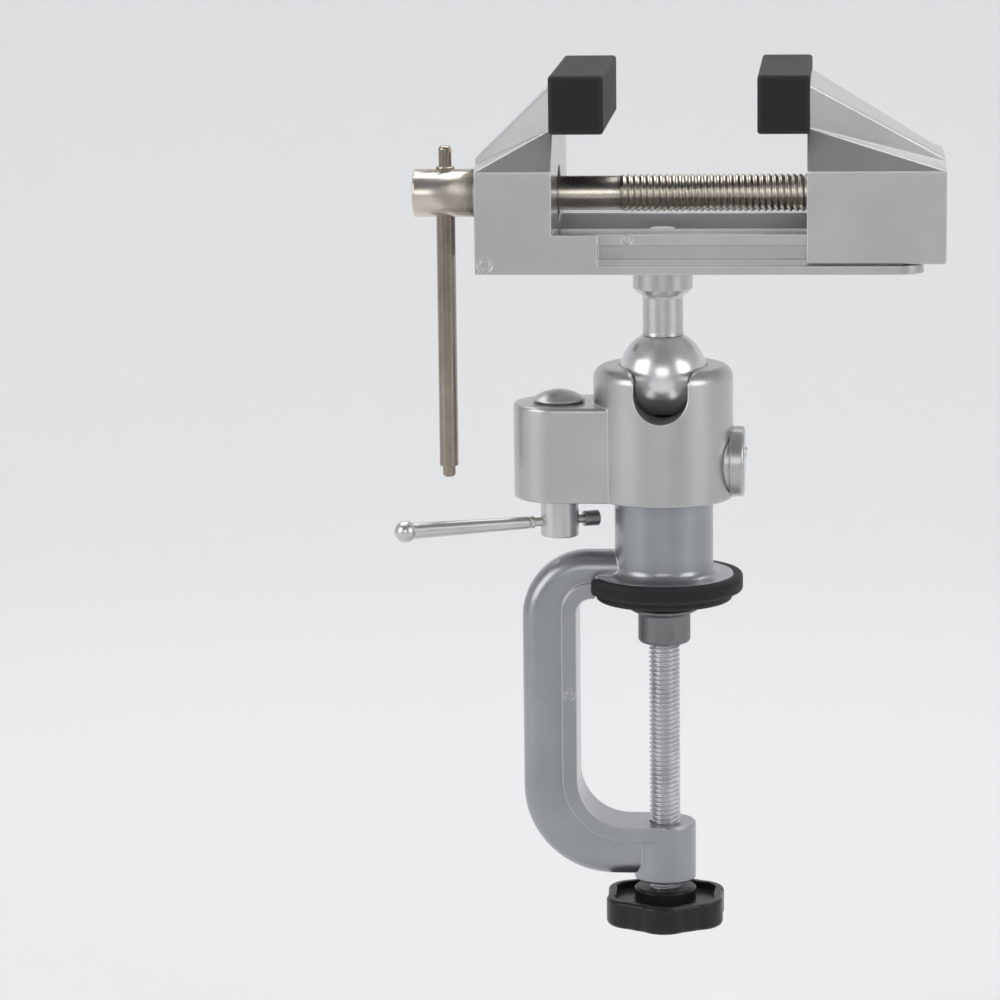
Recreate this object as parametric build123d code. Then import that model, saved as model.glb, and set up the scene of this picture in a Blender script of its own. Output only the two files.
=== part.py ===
from build123d import *

import math
import os

# A table vise on a ball joint, held to a bench edge by a screw clamp.
# Millimetres. The origin is the centre of the bench pad's underside, where the bench
# top meets it. +Z is up the post, +X points to the moving jaw, -Y is the front.

# Bench clamp: C-frame, disc and post
DISC_RADIUS = 22.5
DISC_TOP = 8.4
PAD_RADIUS = 25.3
PAD_STEP = 2.9
PAD_LIP_RADIUS = 21.9
PAD_GROOVES = (9.0, 15.0)
PAD_GROOVE_HALF_WIDTH = 0.8
PAD_GROOVE_DEPTH = 0.5
BAND_HALF_WIDTH = 10.0
BAND_THICKNESS = 4.8
BAND_INNER_X = -27.8
BAND_UNDER = 1.6
RIB_HALF_WIDTH = 6.9
RIB_OUTER_X = -45.6
RIB_ROUNDING = 5.6
ARM_TOP = 15.6
LOWER_ARM_TOP = -74.0
LOWER_ARM_BOTTOM = -91.2
INNER_TOP_BEND = 5.0
INNER_BOTTOM_BEND = 16.0
OUTER_TOP_BEND = 21.6
OUTER_BOTTOM_BEND = 29.0
BOSS_RADIUS = 10.0
BOSS_BOTTOM = -93.0
POST_RADIUS = 15.8
POST_FOOT_ROUNDING = 3.0
POST_TOP = 33.0
SPIGOT_RADIUS = 12.0
SPIGOT_TOP = 49.5
SPIGOT_GROOVE_LOW = 47.2
SPIGOT_GROOVE_HIGH = 48.4
SPIGOT_GROOVE_DEPTH = 1.4
RUNNING_GAP = 0.05
RING_OPENING = 6.0

# Clamp screw, shoe and knob
SCREW_RADIUS = 5.0
SCREW_END = -105.0
SCREW_TIP = -5.2
SHOE_RING_Z = -8.5
SHOE_RING_WIRE = 0.5
SHOE_TOP = -2.6
SHOE_FLANGE_RADIUS = 10.8
SHOE_FLANGE_THICKNESS = 1.8
SHOE_RADIUS = 8.4
SHOE_BOTTOM = -14.4
SHOE_ROUNDING = 1.5
KNOB_RADIUS = 20.4
KNOB_LOBES = 6
KNOB_TURN = 30.0
KNOB_WAIST = 18.6
KNOB_LOBE_RADIUS = 9.0
KNOB_VALLEY_RADIUS = 7.0
KNOB_RIM = 2.6
KNOB_TOP = -98.0
KNOB_BOTTOM = -107.0
KNOB_HUB_TOP = -95.8
KNOB_HUB_RADIUS = 10.0
KNOB_RECESS = 2.4

# Ball housing
HOUSING_RADIUS = 22.3
HOUSING_BOTTOM = 33.3
HOUSING_TOP = 75.9
HOUSING_ROUNDING = 4.0
CAVITY_RADIUS = 15.2
CAVITY_FLOOR = 47.0
CAVITY_TOP = 66.5
SEAT_BOTTOM = 57.9
SEAT_HOLE_RADIUS = 6.0
SPINDLE_BORE_TOP = 45.0
ECCENTRIC_BORE_RADIUS = 6.5
NOTCH_WIDTH = 17.2
NOTCH_BOTTOM = 60.1
NOTCH_FLARE = 4.0
SIDE_X = -33.4
SIDE_RADIUS = 14.5
SIDE_TOP = 63.9
SIDE_CAP_RADIUS = 8.5
SIDE_CAP_RISE = 4.0
SIDE_CAP_DOME = 3.0
SIDE_CAP_FOOT_RADIUS = 7.6
ADJUSTER_Z = 44.7
ADJUSTER_RADIUS = 11.3
ADJUSTER_FACE = 21.4
ADJUSTER_END = 26.0
ADJUSTER_PIP_Z = 47.8
ADJUSTER_PIP_RADIUS = 1.65
ADJUSTER_PIP_HEIGHT = 0.6
DRAG_Z = 43.4
DRAG_RADIUS = 2.5
DRAG_PLUG_START = 11.0
DRAG_PLUG_END = 15.5

# Lock: spindle, eccentric, plunger and lever
SPINDLE_RADIUS = 6.1
BUSH_RADIUS = 7.6
SPINDLE_SHOULDER = 45.6
SPINDLE_BOTTOM = 20.4
SPINDLE_TOP = 61.8
ECCENTRIC_THROW = 0.6
ECCENTRIC_RADIUS = 5.2
ECCENTRIC_BOTTOM = 48.0
ECCENTRIC_TOP = 59.0
SPINDLE_TOP_RADIUS = 4.0
PLUNGER_Z = 54.6
PLUNGER_RADIUS = 3.0
PLUNGER_NOSE_X = -9.0
CAM_GAP = 0.35
LEVER_Z = 25.2
LEVER_YAW = 22.4
LEVER_REACH = 51.6
LEVER_BALL_RADIUS = 3.5
LEVER_NECK_RADIUS = 1.45
LEVER_NECK_END = 8.7
LEVER_RING_END = 10.1
LEVER_START = 10.5
LEVER_CAP_RADIUS = 2.5
LEVER_CAP_START = 8.0
LEVER_THIN_RADIUS = 1.95
LEVER_THICK_RADIUS = 2.6
LEVER_CAP_END = 13.2

# Ball and stem
BALL_RADIUS = 14.0
BALL_Z = 73.1
SOCKET_GAP = 0.3
SEAT_GAP = 0.1
NECK_RADIUS = 6.4
NECK_BOTTOM = 85.6
COLLAR_RADIUS = 9.5
COLLAR_BOTTOM = 99.0
STUD_RADIUS = 4.0
STUD_BOTTOM = 76.0
STUD_TOP = 119.6
STEM_NUT_RADIUS = 7.6
STEM_NUT_HEIGHT = 5.4

# Head: fixed jaw with its rails, moving jaw, screw and pads
CASTING_HALF_WIDTH = 36.0
BASE_BOTTOM = 109.5
PLATE_TOP = 112.2
PLATE_END = 81.8
PLATE_CORNER = 7.5
RAIL_TOP = 121.8
RAIL_HALF_WIDTH = 33.0
RAIL_START = -18.6
RAIL_END = 75.0
GROOVE_BOTTOM = 113.8
GROOVE_TOP = 118.3
GROOVE_HALF_WIDTH = 30.0
CHANNEL_HALF_WIDTH = 20.0
CHANNEL_FLOOR = 113.0
SLIDE_GAP = 0.3
JAW_AXIS_Z = 130.8
LEDGE_Z = 141.3
FIXED_OUTER_X = -56.5
FIXED_INNER_X = -32.7
MOVING_INNER_X = 45.9
MOVING_OUTER_X = 88.5
MOVING_BOTTOM = 112.7
FIXED_END_X = -58.2
MOVING_END_X = 88.5
TOP_HALF_WIDTH_INNER = 28.0
TOP_HALF_WIDTH_OUTER = 11.0
TOP_Z_INNER = 167.6
TOP_Z_OUTER = 142.8
GUSSET_Z = 154.0
JAW_ROUNDING = 0.7
MOVING_CORNER = 1.0
TONGUE_LENGTH = 8.0
TONGUE_HALF_WIDTH = 33.0
TONGUE_BOTTOM = 156.0
JAW_PAD_HALF_WIDTH = 37.5
JAW_PAD_BOTTOM = 152.9
JAW_PAD_TOP = 171.0
FIXED_PAD_FACE = -16.4
FIXED_PAD_BACK = -33.3
MOVING_PAD_FACE = 30.7
MOVING_PAD_BACK = 46.8
JAW_SCREW_SHANK = 5.4
JAW_SCREW_THREAD = 5.9
THREAD_START = -13.2
THREAD_END = 85.0
SCREW_HEAD_RADIUS = 7.6
SCREW_HEAD_LEFT = -78.8
SCREW_HEAD_RIGHT = -59.5
TOMMY_X = -68.8
TOMMY_RADIUS = 3.0
TOMMY_TIP_RADIUS = 2.05
TOMMY_TIP_ROUNDING = 1.1
TOMMY_BOTTOM = 39.4
TOMMY_TOP = 145.8
TOMMY_LOWER_SHOULDER = 43.0
TOMMY_UPPER_SHOULDER = 139.2
NUT_START = 50.0
NUT_END = 62.0
NUT_HALF_WIDTH = 9.5
NUT_TOP = 139.8
CLIP_X = -34.6
CLIP_GROOVE = 1.1
CLIP_RADIUS = 8.2
CLIP_OPENING = 5.0
CLIP_RECESS_RADIUS = 9.0
CLIP_RECESS_DEPTH = 2.6
WASHER_RADIUS = 8.4
FIXED_POCKET_X = (-53.0, -36.5)
FIXED_POCKET_Y = (10.0, 32.5)
FIXED_POCKET_TOP = 136.0
RAIL_POCKET_X = (-13.6, 70.0)
RAIL_POCKET_Y = (22.5, 27.5)
RAIL_POCKET_TOP = 119.0
MOVING_POCKET_X = (51.0, 84.8)
MOVING_POCKET_Y = (13.5, 31.0)
MOVING_POCKET_TOP = 137.0
GUIDE_X = (62.0, 84.5)

# Ejector pin marks on the front: (x, z, radius)
MARK_DEPTH = 0.3
BAND_MARK = (-30.2, -30.0, 1.8)
FIXED_JAW_MARK = (-53.4, 112.6, 2.3)
RAIL_MARK = (-9.6, 120.1, 1.6)


def turned(outline):
    """A lathe form about Z from (radius, height) points that run round its half section."""
    half = make_face(Polyline(*outline, close=True))
    return revolve(Plane.XZ * half, Axis.Z)


def rod(radius, low, high):
    """An upright cylinder between two heights on the Z axis."""
    return Pos(0, 0, (low + high) / 2) * Cylinder(radius, high - low)


def rod_x(radius, low, high, z):
    """A level cylinder along X at a height."""
    return Pos((low + high) / 2, 0, z) * Rot(0, 90, 0) * Cylinder(radius, high - low)


def block(x_span, half_width, z_span):
    """A box between two X values and two heights, even about Y = 0."""
    x_low, x_high = x_span
    z_low, z_high = z_span
    size = Box(x_high - x_low, 2 * half_width, z_high - z_low)
    return Pos((x_low + x_high) / 2, 0, (z_low + z_high) / 2) * size


def side_blocks(x_span, y_span, z_span):
    """Two boxes, one on each side of Y = 0."""
    x_low, x_high = x_span
    y_low, y_high = y_span
    z_low, z_high = z_span
    size = Box(x_high - x_low, y_high - y_low, z_high - z_low)
    x_mid = (x_low + x_high) / 2
    y_mid = (y_low + y_high) / 2
    z_mid = (z_low + z_high) / 2
    return Pos(x_mid, y_mid, z_mid) * size + Pos(x_mid, -y_mid, z_mid) * size


def front_mark(mark, face_y):
    """The shallow ring that an ejector pin leaves on a face that looks to -Y."""
    x, z, radius = mark
    ring = Cylinder(radius, 2 * MARK_DEPTH) - Cylinder(0.72 * radius, 2 * MARK_DEPTH)
    return Pos(x, face_y, z) * Rot(90, 0, 0) * ring


# Bench clamp


def rounded_corner_face(top, left, bottom, top_radius, bottom_radius):
    """A flat in XZ from X = 0 out to left, its two left corners rounded."""
    corners = [(0, top), (left, top), (left, bottom), (0, bottom)]
    face = make_face(Polyline(*corners, close=True))
    upper = face.vertices().sort_by(Axis.X)[:2].sort_by(Axis.Y)[-1]
    face = fillet(upper, top_radius)
    lower = face.vertices().sort_by(Axis.Y)[:2].sort_by(Axis.X)[0]
    return fillet(lower, bottom_radius)


def make_clamp_frame():
    opening = rounded_corner_face(
        BAND_UNDER, BAND_INNER_X, LOWER_ARM_TOP, INNER_TOP_BEND, INNER_BOTTOM_BEND
    )
    outside = rounded_corner_face(
        ARM_TOP, RIB_OUTER_X, LOWER_ARM_BOTTOM, OUTER_TOP_BEND, OUTER_BOTTOM_BEND
    )
    band_outside = rounded_corner_face(
        BAND_UNDER + BAND_THICKNESS,
        BAND_INNER_X - BAND_THICKNESS,
        LOWER_ARM_TOP - BAND_THICKNESS,
        INNER_TOP_BEND + BAND_THICKNESS,
        INNER_BOTTOM_BEND + BAND_THICKNESS,
    )
    rib = extrude(Plane.XZ * (outside - opening), RIB_HALF_WIDTH, both=True)

    def on_outer_edge(edge):
        p = edge @ 0.5
        along_y = abs(abs(p.Y) - RIB_HALF_WIDTH) < 0.01
        far_left = p.X < BAND_INNER_X - 9
        above = p.Z > BAND_UNDER + 9
        below = p.Z < LOWER_ARM_TOP - 9
        return along_y and (far_left or above or below)

    rib = fillet(rib.edges().filter_by(on_outer_edge), RIB_ROUNDING)
    band = extrude(Plane.XZ * (band_outside - opening), BAND_HALF_WIDTH, both=True)
    arm = rib + band - block((-PAD_LIP_RADIUS, 1), 12, (BAND_UNDER - 1, PAD_STEP + 0.1))
    post = turned(
        [
            (0, PAD_STEP + 0.1),
            (DISC_RADIUS, PAD_STEP + 0.1),
            (DISC_RADIUS, DISC_TOP - 0.4),
            (DISC_RADIUS - 0.4, DISC_TOP),
            (POST_RADIUS, DISC_TOP),
            (POST_RADIUS, POST_TOP),
            (SPIGOT_RADIUS, POST_TOP),
            (SPIGOT_RADIUS, SPIGOT_GROOVE_LOW),
            (SPIGOT_RADIUS - SPIGOT_GROOVE_DEPTH, SPIGOT_GROOVE_LOW),
            (SPIGOT_RADIUS - SPIGOT_GROOVE_DEPTH, SPIGOT_GROOVE_HIGH),
            (SPIGOT_RADIUS, SPIGOT_GROOVE_HIGH),
            (SPIGOT_RADIUS, SPIGOT_TOP - 0.5),
            (SPIGOT_RADIUS - 0.5, SPIGOT_TOP),
            (0, SPIGOT_TOP),
        ]
    )

    def is_foot(edge):
        p = edge @ 0
        return abs(p.Z - DISC_TOP) < 0.01 and abs(math.hypot(p.X, p.Y) - POST_RADIUS) < 0.01

    post = fillet(post.edges().filter_by(is_foot), POST_FOOT_ROUNDING)
    boss = turned(
        [
            (0, BOSS_BOTTOM),
            (BOSS_RADIUS - 0.6, BOSS_BOTTOM),
            (BOSS_RADIUS, BOSS_BOTTOM + 0.6),
            (BOSS_RADIUS, LOWER_ARM_TOP - 0.5),
            (BOSS_RADIUS - 0.5, LOWER_ARM_TOP),
            (0, LOWER_ARM_TOP),
        ]
    )
    frame = arm + post + boss
    frame -= rod(SCREW_RADIUS + RUNNING_GAP, BOSS_BOTTOM - 1, LOWER_ARM_TOP + 1)
    return frame - front_mark(BAND_MARK, -BAND_HALF_WIDTH)


def make_bench_pad():
    pad = turned(
        [
            (0, 0),
            (PAD_LIP_RADIUS - 0.6, 0),
            (PAD_LIP_RADIUS, 0.6),
            (PAD_LIP_RADIUS, PAD_STEP),
            (PAD_RADIUS - 0.8, PAD_STEP),
            (PAD_RADIUS, PAD_STEP + 0.8),
            (PAD_RADIUS, DISC_TOP - 0.8),
            (PAD_RADIUS - 0.8, DISC_TOP),
            (DISC_RADIUS, DISC_TOP),
            (DISC_RADIUS, PAD_STEP + 0.1),
            (0, PAD_STEP + 0.1),
        ]
    )
    gap_half = BAND_HALF_WIDTH + 0.2
    rim_start = -math.sqrt(DISC_RADIUS**2 - gap_half**2)
    arm_gap = block((-PAD_RADIUS - 1, -PAD_LIP_RADIUS), gap_half, (-1, 9))
    arm_gap += block((-PAD_RADIUS - 1, rim_start), gap_half, (PAD_STEP + 0.1, 9))
    for radius in PAD_GROOVES:
        groove = rod(radius + PAD_GROOVE_HALF_WIDTH, -1, PAD_GROOVE_DEPTH)
        pad -= groove - rod(radius - PAD_GROOVE_HALF_WIDTH, -1, PAD_GROOVE_DEPTH)
    return pad - arm_gap


def make_post_ring():
    low = SPIGOT_GROOVE_LOW + RUNNING_GAP
    high = SPIGOT_GROOVE_HIGH - RUNNING_GAP
    bore = SPIGOT_RADIUS - SPIGOT_GROOVE_DEPTH + 0.1
    ring = rod(SPIGOT_RADIUS + 1.6, low, high) - rod(bore, low - 1, high + 1)
    return ring - block((bore - 1, SPIGOT_RADIUS + 3), RING_OPENING / 2, (low - 1, high + 1))


def make_clamp_screw():
    return turned(
        [
            (0, SCREW_END),
            (SCREW_RADIUS, SCREW_END),
            (SCREW_RADIUS, SHOE_RING_Z - 1.1),
            (SCREW_RADIUS - 0.9, SHOE_RING_Z - 0.7),
            (SCREW_RADIUS - 0.9, SHOE_RING_Z + 0.7),
            (SCREW_RADIUS, SHOE_RING_Z + 1.1),
            (SCREW_RADIUS, SCREW_TIP - 1.2),
            (2.0, SCREW_TIP),
            (0, SCREW_TIP),
        ]
    )


def make_clamp_shoe():
    flange_under = SHOE_TOP - SHOE_FLANGE_THICKNESS
    hole = SCREW_RADIUS + RUNNING_GAP
    shoe = turned(
        [
            (0, SHOE_TOP),
            (SHOE_FLANGE_RADIUS - 0.4, SHOE_TOP),
            (SHOE_FLANGE_RADIUS, SHOE_TOP - 0.4),
            (SHOE_FLANGE_RADIUS, SHOE_TOP - 1.0),
            (SHOE_FLANGE_RADIUS - 1.6, flange_under),
            (SHOE_RADIUS, flange_under - 0.6),
            (SHOE_RADIUS, SHOE_BOTTOM),
            (hole + 0.5, SHOE_BOTTOM),
            (hole, SHOE_BOTTOM + 0.5),
            (hole, SHOE_RING_Z - 0.6),
            (hole + 0.6, SHOE_RING_Z - 0.6),
            (hole + 0.6, SHOE_RING_Z + 0.6),
            (hole, SHOE_RING_Z + 0.6),
            (hole, SCREW_TIP + 0.3),
            (0, SCREW_TIP + 0.3),
        ]
    )
    lower_rim = shoe.edges().group_by(Axis.Z)[0].sort_by(SortBy.LENGTH)[-1]
    return fillet(lower_rim, SHOE_ROUNDING)


def make_shoe_ring():
    """The wire ring that stands in the shoe's groove and runs in the screw's neck."""
    wire = Pos(SCREW_RADIUS + 0.06, SHOE_RING_Z) * Circle(SHOE_RING_WIRE)
    ring = revolve(Plane.XZ * wire, Axis.Z)
    gap_span = (SHOE_RING_Z - 2 * SHOE_RING_WIRE, SHOE_RING_Z + 2 * SHOE_RING_WIRE)
    return ring - block((SCREW_RADIUS - 3, SCREW_RADIUS + 3), 1.0, gap_span)


def lobed_outline(inset):
    """The knob's outline drawn in by an inset: a circle with round lobes and soft valleys."""
    outline = Circle(KNOB_WAIST - inset)
    for count in range(KNOB_LOBES):
        lobe = Pos(KNOB_RADIUS - KNOB_LOBE_RADIUS, 0) * Circle(KNOB_LOBE_RADIUS - inset)
        outline += Rot(0, 0, KNOB_TURN + 360 / KNOB_LOBES * count) * lobe
    return fillet(outline.vertices(), KNOB_VALLEY_RADIUS + inset)


def make_clamp_knob():
    outline = lobed_outline(0)
    inner = lobed_outline(KNOB_RIM)
    body = Pos(0, 0, KNOB_BOTTOM) * extrude(outline, KNOB_TOP - KNOB_BOTTOM)
    body = fillet(body.edges().group_by(Axis.Z)[-1], 1.1)
    body = fillet(body.edges().group_by(Axis.Z)[0], 1.6)
    floor = KNOB_TOP - KNOB_RECESS
    recess = Pos(0, 0, floor) * extrude(inner, 2 * KNOB_RECESS)
    hub = turned(
        [
            (0, floor - 1),
            (KNOB_HUB_RADIUS, floor - 1),
            (KNOB_HUB_RADIUS, KNOB_HUB_TOP - 0.6),
            (KNOB_HUB_RADIUS - 0.6, KNOB_HUB_TOP),
            (0, KNOB_HUB_TOP),
        ]
    )
    return body - recess + hub - rod(SCREW_RADIUS, SCREW_END, KNOB_HUB_TOP + 1)


# Ball housing


def ball_form(extra):
    """The ball's sphere with a gap round it, its seam turned to the back."""
    return Pos(0, 0, BALL_Z) * Rot(0, 0, 90) * Sphere(BALL_RADIUS + extra)


def notch_cutter(extra, reach):
    """The U the neck drops into: round at the bottom and flared where it meets the top."""
    half = NOTCH_WIDTH / 2 + extra
    bend_z = NOTCH_BOTTOM + NOTCH_WIDTH / 2
    flare_z = HOUSING_TOP - NOTCH_FLARE + 0.1
    inset = NOTCH_FLARE * (1 - math.sqrt(0.5))
    wide = half + NOTCH_FLARE
    rim_z = flare_z + NOTCH_FLARE
    outline = Line((-half, bend_z), (-half, flare_z))
    outline += ThreePointArc((-half, flare_z), (-half - inset, rim_z - inset), (-wide, rim_z))
    outline += Polyline((-wide, rim_z), (-wide, rim_z + 9), (wide, rim_z + 9), (wide, rim_z))
    outline += ThreePointArc((wide, rim_z), (half + inset, rim_z - inset), (half, flare_z))
    outline += Line((half, flare_z), (half, bend_z))
    outline += ThreePointArc((half, bend_z), (0, bend_z - half), (-half, bend_z))
    return Pos(0, -1, 0) * extrude(Plane.XZ * make_face(outline), reach)


def make_socket_housing():
    body = Pos(0, 0, HOUSING_BOTTOM) * extrude(Circle(HOUSING_RADIUS), HOUSING_TOP - HOUSING_BOTTOM)
    body = fillet(body.edges().group_by(Axis.Z)[-1], HOUSING_ROUNDING)
    body = fillet(body.edges().group_by(Axis.Z)[0], 0.8)
    side_plan = Pos(SIDE_X, 0) * Circle(SIDE_RADIUS)
    side_plan += Pos(SIDE_X / 2, 0) * Rectangle(-SIDE_X, 2 * SIDE_RADIUS)
    side = Pos(0, 0, HOUSING_BOTTOM) * extrude(side_plan, SIDE_TOP - HOUSING_BOTTOM)
    side = fillet(side.edges().group_by(Axis.Z)[-1], 1.2)
    side = fillet(side.edges().group_by(Axis.Z)[0], 0.8)
    socket = rod(CAVITY_RADIUS, CAVITY_FLOOR, CAVITY_TOP) + ball_form(SOCKET_GAP)
    body = body + side - (socket + notch_cutter(0, 30))
    body += rod_x(ADJUSTER_RADIUS - 0.7, 18, ADJUSTER_FACE, ADJUSTER_Z)
    body -= rod(SPIGOT_RADIUS + RUNNING_GAP, HOUSING_BOTTOM - 1, CAVITY_FLOOR + 1)
    body -= Pos(SIDE_X, 0, 0) * rod(BUSH_RADIUS, HOUSING_BOTTOM - 1, SPINDLE_BORE_TOP)
    cam_bore = rod(ECCENTRIC_BORE_RADIUS, SPINDLE_BORE_TOP - 1, SIDE_TOP + 1)
    body -= Pos(SIDE_X, 0, 0) * cam_bore
    body -= rod_x(PLUNGER_RADIUS + RUNNING_GAP, SIDE_X, -CAVITY_RADIUS + 1, PLUNGER_Z)
    body -= rod_x(ADJUSTER_RADIUS + RUNNING_GAP, ADJUSTER_FACE, ADJUSTER_END, ADJUSTER_Z)
    return body - rod_x(DRAG_RADIUS, 10, ADJUSTER_FACE + 1, DRAG_Z)


def make_ball_seat():
    seat = rod(CAVITY_RADIUS, SEAT_BOTTOM, CAVITY_TOP)
    seat -= rod(SEAT_HOLE_RADIUS, SEAT_BOTTOM - 1, CAVITY_TOP)
    seat -= ball_form(SEAT_GAP)
    return seat - notch_cutter(0.4, 30)


def make_lock_bush():
    bush = rod(BUSH_RADIUS, HOUSING_BOTTOM + 0.4, SPINDLE_BORE_TOP)
    bush -= rod(SPINDLE_RADIUS + RUNNING_GAP, HOUSING_BOTTOM, SPINDLE_BORE_TOP + 1)
    return Pos(SIDE_X, 0, 0) * bush


def make_side_cap():
    dome_radius = (SIDE_CAP_RADIUS**2 + SIDE_CAP_DOME**2) / (2 * SIDE_CAP_DOME)
    crown_z = SIDE_TOP + SIDE_CAP_RISE
    dome = Pos(0, 0, crown_z - dome_radius) * Sphere(dome_radius)
    rim_z = crown_z - SIDE_CAP_DOME
    cap = turned(
        [
            (0, SIDE_TOP),
            (SIDE_CAP_FOOT_RADIUS, SIDE_TOP),
            (SIDE_CAP_RADIUS, rim_z - 0.3),
            (SIDE_CAP_RADIUS, crown_z),
            (0, crown_z),
        ]
    )
    cap = cap & dome
    cap += rod(ECCENTRIC_BORE_RADIUS, ECCENTRIC_TOP + 0.4, SIDE_TOP)
    cap -= rod(SPINDLE_TOP_RADIUS + RUNNING_GAP, ECCENTRIC_TOP, SPINDLE_TOP + 0.3)
    return Pos(SIDE_X, 0, 0) * cap


def make_adjuster_cap():
    cap = rod_x(ADJUSTER_RADIUS, ADJUSTER_FACE, ADJUSTER_END, ADJUSTER_Z)
    cap = fillet(cap.edges().group_by(Axis.X)[-1], 1.2)
    pip_end = ADJUSTER_END + ADJUSTER_PIP_HEIGHT
    cap += rod_x(ADJUSTER_PIP_RADIUS, ADJUSTER_END - 1, pip_end, ADJUSTER_PIP_Z)
    return cap - rod_x(DRAG_RADIUS, ADJUSTER_FACE - 1, ADJUSTER_FACE + 2.0, DRAG_Z)


def make_adjuster_screw():
    """The set screw under the cap, with its hexagon socket. It presses the nylon plug."""
    end = ADJUSTER_FACE + 1.8
    socket = Pos(end, 0, DRAG_Z) * Rot(0, -90, 0) * extrude(RegularPolygon(1.4, 6), 2.4)
    return rod_x(DRAG_RADIUS, DRAG_PLUG_END + 0.1, end, DRAG_Z) - socket


def make_drag_plug():
    plug = rod_x(DRAG_RADIUS, DRAG_PLUG_START, DRAG_PLUG_END, DRAG_Z)
    spigot = rod(SPIGOT_RADIUS + RUNNING_GAP, DRAG_Z - 2 * DRAG_RADIUS, DRAG_Z + 2 * DRAG_RADIUS)
    return plug - spigot


# Lock


def make_lock_spindle():
    spindle = rod(SPINDLE_RADIUS, SPINDLE_BOTTOM, SPINDLE_SHOULDER)
    spindle = fillet(spindle.edges().group_by(Axis.Z)[0], 0.5)
    spindle += rod(SPINDLE_TOP_RADIUS, SPINDLE_SHOULDER - 1, SPINDLE_TOP)
    cam = rod(ECCENTRIC_RADIUS, ECCENTRIC_BOTTOM, ECCENTRIC_TOP)
    spindle += Pos(0, ECCENTRIC_THROW, 0) * cam
    hole = Rot(0, 0, LEVER_YAW) * rod_x(LEVER_NECK_RADIUS + RUNNING_GAP, -9, 9, LEVER_Z)
    return Pos(SIDE_X, 0, 0) * (spindle - hole)


def make_lock_plunger():
    cam_face = SIDE_X + ECCENTRIC_RADIUS
    plunger = rod_x(PLUNGER_RADIUS, cam_face + CAM_GAP, PLUNGER_NOSE_X, PLUNGER_Z)
    return chamfer(plunger.edges().group_by(Axis.X)[-1], 2.0)


def on_lever(shape):
    """Carries a form turned about Z from its lathe axis to the lever's line in the spindle."""
    lay_down = Rot(0, -90, 0)
    return Pos(SIDE_X, 0, LEVER_Z) * Rot(0, 0, LEVER_YAW) * lay_down * shape


def make_lock_lever():
    """The lathe axis is the lever's length: 0 at the spindle's axis, ball end out to the left."""
    shaft = turned(
        [
            (0, -LEVER_CAP_END + 0.8),
            (LEVER_NECK_RADIUS, -LEVER_CAP_END + 0.8),
            (LEVER_NECK_RADIUS, LEVER_NECK_END),
            (LEVER_THIN_RADIUS - 0.2, LEVER_NECK_END),
            (LEVER_THIN_RADIUS, LEVER_NECK_END + 0.2),
            (LEVER_THIN_RADIUS, LEVER_RING_END - 0.2),
            (LEVER_THIN_RADIUS - 0.2, LEVER_RING_END),
            (LEVER_NECK_RADIUS, LEVER_RING_END),
            (LEVER_NECK_RADIUS, LEVER_START),
            (LEVER_THIN_RADIUS - 0.2, LEVER_START),
            (LEVER_THIN_RADIUS, LEVER_START + 0.2),
            (LEVER_THICK_RADIUS, LEVER_REACH - 2.6),
            (LEVER_THICK_RADIUS, LEVER_REACH - 1.6),
            (0, LEVER_REACH - 1.6),
        ]
    )
    return on_lever(shaft + Pos(0, 0, LEVER_REACH) * Sphere(LEVER_BALL_RADIUS))


def make_lever_end_cap():
    cap = turned(
        [
            (LEVER_NECK_RADIUS, -LEVER_CAP_START),
            (LEVER_CAP_RADIUS - 0.3, -LEVER_CAP_START),
            (LEVER_CAP_RADIUS, -LEVER_CAP_START - 0.3),
            (LEVER_CAP_RADIUS, -LEVER_CAP_END + 0.3),
            (LEVER_CAP_RADIUS - 0.3, -LEVER_CAP_END),
            (0, -LEVER_CAP_END),
            (0, -LEVER_CAP_END + 0.8),
            (LEVER_NECK_RADIUS, -LEVER_CAP_END + 0.8),
        ]
    )
    return on_lever(cap)


# Ball and stem


def make_ball():
    ball = ball_form(0)
    above = BALL_Z + 2 * BALL_RADIUS
    ball -= rod(BALL_RADIUS, NECK_BOTTOM - 0.1, above)
    return ball - rod(STUD_RADIUS + RUNNING_GAP, STUD_BOTTOM - 0.4, above)


def make_ball_stem():
    return turned(
        [
            (0, STUD_BOTTOM),
            (STUD_RADIUS, STUD_BOTTOM),
            (STUD_RADIUS, NECK_BOTTOM),
            (NECK_RADIUS + 0.3, NECK_BOTTOM),
            (NECK_RADIUS, NECK_BOTTOM + 0.9),
            (NECK_RADIUS, COLLAR_BOTTOM - 1.4),
            (NECK_RADIUS + 0.5, COLLAR_BOTTOM - 0.4),
            (COLLAR_RADIUS - 1.6, COLLAR_BOTTOM),
            (COLLAR_RADIUS, COLLAR_BOTTOM + 1.6),
            (COLLAR_RADIUS, BASE_BOTTOM - 0.3),
            (COLLAR_RADIUS - 0.3, BASE_BOTTOM),
            (STUD_RADIUS, BASE_BOTTOM),
            (STUD_RADIUS, STUD_TOP),
            (0, STUD_TOP),
        ]
    )


def make_stem_nut():
    nut = Pos(0, 0, CHANNEL_FLOOR) * extrude(RegularPolygon(STEM_NUT_RADIUS, 6), STEM_NUT_HEIGHT)
    return nut - rod(STUD_RADIUS, CHANNEL_FLOOR - 1, STUD_TOP + 1)


# Head


def through(first, second, third):
    """The plane through three points, with its normal turned upwards."""
    a, b, c = Vector(*first), Vector(*second), Vector(*third)
    normal = (b - a).cross(c - a).normalized()
    if normal.Z < 0:
        normal = -normal
    return Plane(origin=a, z_dir=normal)


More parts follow.
